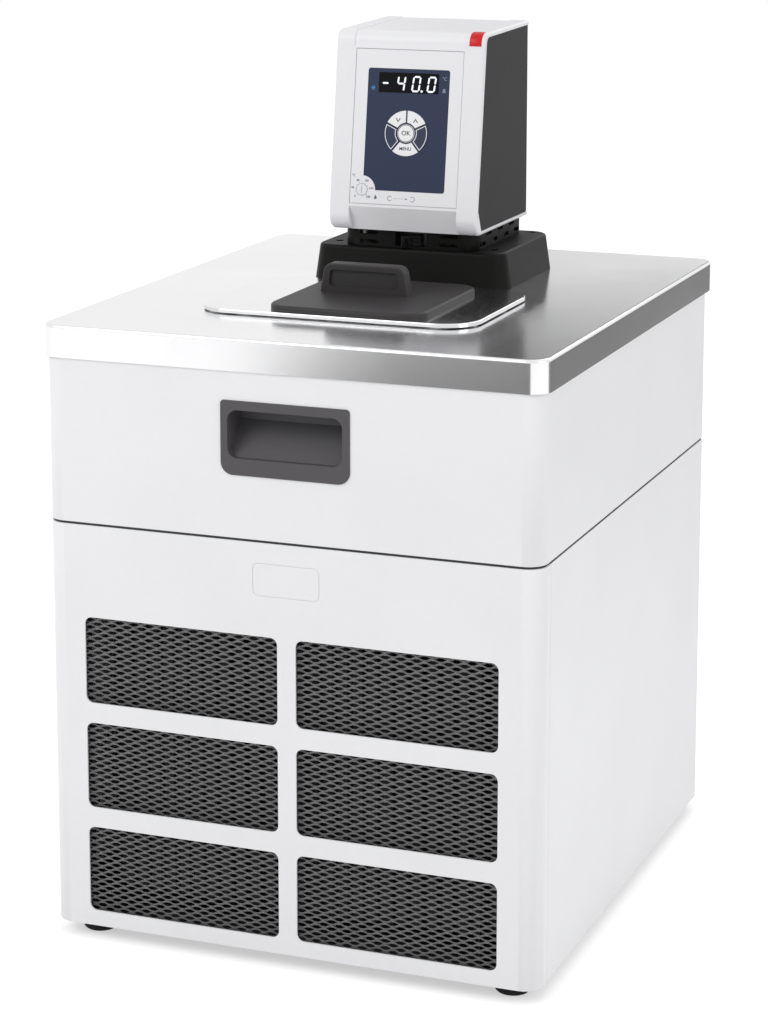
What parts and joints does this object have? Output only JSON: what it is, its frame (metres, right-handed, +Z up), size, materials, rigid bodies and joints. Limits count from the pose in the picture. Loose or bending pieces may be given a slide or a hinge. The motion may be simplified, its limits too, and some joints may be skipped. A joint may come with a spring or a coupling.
{
  "type": "refrigerated circulator",
  "caption": "Benchtop refrigerated circulator: white cabinet with mesh windows, steel top with covered bath, and a control head with display, keypad and pump",
  "frame": {"origin": "middle of the bounding box's underside, on the surface that the feet stand on", "axes": "+Z up, -Y towards the front with the grille and the controls, +X to the right seen from the front"},
  "size_m": [0.418, 0.4914, 0.722],
  "materials": {
    "casing_paint": "satin white powder coat",
    "top_steel": "brushed stainless steel",
    "cover_steel": "brushed stainless steel",
    "tank_steel": "drawn stainless steel",
    "head_light": "fine matt light grey",
    "head_dark": "fine matt anthracite",
    "black_moulding": "satin black",
    "lid_plastic": "matt black",
    "grip_plastic": "fine matt dark grey",
    "grille_metal": "dark grey semi-gloss",
    "pan_metal": "dark grey primer",
    "shroud_metal": "matt black",
    "motor_metal": "cast grey",
    "compressor_paint": "satin black",
    "fan_plastic": "matt black",
    "foot_rubber": "matt black",
    "foam_block": "cut foam",
    "copper_line": "drawn copper",
    "fin_metal": "black coated fins",
    "bright_steel": "polished stainless steel",
    "pump_plastic": "matt black",
    "float_plastic": "satin white",
    "valve_brass": "turned brass",
    "knob_plastic": "matt black",
    "relay_plastic": "matt grey",
    "inlet_plastic": "matt black",
    "board_green": "circuit board green",
    "screen_blue": "smooth slate blue film",
    "display_black": "gloss black",
    "key_white": "satin white",
    "key_dark": "satin slate blue",
    "dial_plastic": "satin white",
    "light_red": "smooth red"
  },
  "bodies": {
    "cabinet": {"front_panel": "casing_paint", "side_panel_left": "casing_paint", "side_panel_right": "casing_paint", "rear_panel": "casing_paint", "bath_casing": "casing_paint", "top_plate": "top_steel", "bath_cover": "cover_steel", "bath_tank": "tank_steel", "head_frame": "head_light", "fascia": "head_light", "head_housing": "head_dark", "bridge_base": "black_moulding", "vent_neck": "black_moulding", "bath_lid": "lid_plastic", "front_grip": "grip_plastic", "rear_grip": "grip_plastic", "grille_mesh": "grille_metal", "base_pan": "pan_metal", "deck_tray": "pan_metal", "fan_shroud": "shroud_metal", "fan_motor": "motor_metal", "pump_motor": "motor_metal", "compressor": "compressor_paint", "feet": "foot_rubber", "compressor_mounts": "foot_rubber", "tank_foam": "foam_block", "discharge_line": "copper_line", "liquid_line": "copper_line", "suction_line": "copper_line", "filter_drier": "copper_line", "evaporator": "copper_line", "condenser": "fin_metal", "heater": "bright_steel", "temperature_probe": "bright_steel", "float_stem": "bright_steel", "hose_ports": "bright_steel", "screws": "bright_steel", "pump_housing": "pump_plastic", "drain_valve": "valve_brass", "relay_box": "relay_plastic", "mains_inlet": "inlet_plastic", "display_board": "board_green", "screen": "screen_blue", "display": "display_black", "status_light": "light_red"},
    "key_ok_body": {"key_ok": "key_white"},
    "key_up_body": {"key_up": "key_white"},
    "key_down_body": {"key_down": "key_white"},
    "key_left_body": {"key_left": "key_dark"},
    "key_menu_body": {"key_menu": "key_white"},
    "key_right_body": {"key_right": "key_dark"},
    "cutoff_dial_body": {"cutoff_dial": "dial_plastic"},
    "flow_lever_body": {"flow_lever": "black_moulding"},
    "fan_blades_body": {"fan_blades": "fan_plastic"},
    "pump_rotor_body": {"pump_rotor": "pump_plastic"},
    "level_float_body": {"level_float": "float_plastic"},
    "mains_rocker_body": {"mains_rocker": "inlet_plastic"},
    "drain_knob_body": {"drain_knob": "knob_plastic"}
  },
  "joints": [
    {"name": "key_ok_press", "type": "slide", "parent": "cabinet", "child": "key_ok_body", "axis": [0, 0.9899, -0.1419], "range_m": [0, 0.0006], "stiffness_N_per_m": 1500, "springref_m": -0.0002},
    {"name": "key_up_press", "type": "slide", "parent": "cabinet", "child": "key_up_body", "axis": [0, 0.9899, -0.1419], "range_m": [0, 0.0006], "stiffness_N_per_m": 1500, "springref_m": -0.0002},
    {"name": "key_down_press", "type": "slide", "parent": "cabinet", "child": "key_down_body", "axis": [0, 0.9899, -0.1419], "range_m": [0, 0.0006], "stiffness_N_per_m": 1500, "springref_m": -0.0002},
    {"name": "key_left_press", "type": "slide", "parent": "cabinet", "child": "key_left_body", "axis": [0, 0.9899, -0.1419], "range_m": [0, 0.0006], "stiffness_N_per_m": 1500, "springref_m": -0.0002},
    {"name": "key_menu_press", "type": "slide", "parent": "cabinet", "child": "key_menu_body", "axis": [0, 0.9899, -0.1419], "range_m": [0, 0.0006], "stiffness_N_per_m": 1500, "springref_m": -0.0002},
    {"name": "key_right_press", "type": "slide", "parent": "cabinet", "child": "key_right_body", "axis": [0, 0.9899, -0.1419], "range_m": [0, 0.0006], "stiffness_N_per_m": 1500, "springref_m": -0.0002},
    {"name": "cutoff_turn", "type": "hinge", "parent": "cabinet", "child": "cutoff_dial_body", "pos_m": [-0.0371, 0.01215, 0.58718], "axis": [0, 0.9899, -0.1419], "range_deg": [0, 270]},
    {"name": "flow_swing", "type": "hinge", "parent": "cabinet", "child": "flow_lever_body", "pos_m": [0.0061, 0.03075, 0.545], "axis": [0, 0, 1], "range_deg": [0, 75]},
    {"name": "fan_spin", "type": "hinge", "parent": "cabinet", "child": "fan_blades_body", "pos_m": [0, -0.16675, 0.16], "axis": [0, 1, 0], "continuous": true},
    {"name": "pump_spin", "type": "hinge", "parent": "cabinet", "child": "pump_rotor_body", "pos_m": [0, 0.08925, 0.45], "axis": [0, 0, 1], "continuous": true},
    {"name": "float_rise", "type": "slide", "parent": "cabinet", "child": "level_float_body", "axis": [0, 0, 1], "range_m": [0, 0.02]},
    {"name": "mains_rock", "type": "hinge", "parent": "cabinet", "child": "mains_rocker_body", "pos_m": [-0.145, 0.2339, 0.062], "axis": [1, 0, 0], "range_deg": [-7, 7]},
    {"name": "drain_turn", "type": "hinge", "parent": "cabinet", "child": "drain_knob_body", "pos_m": [-0.07, -0.21425, 0.304], "axis": [0, 1, 0], "range_deg": [0, 90]}
  ]
}
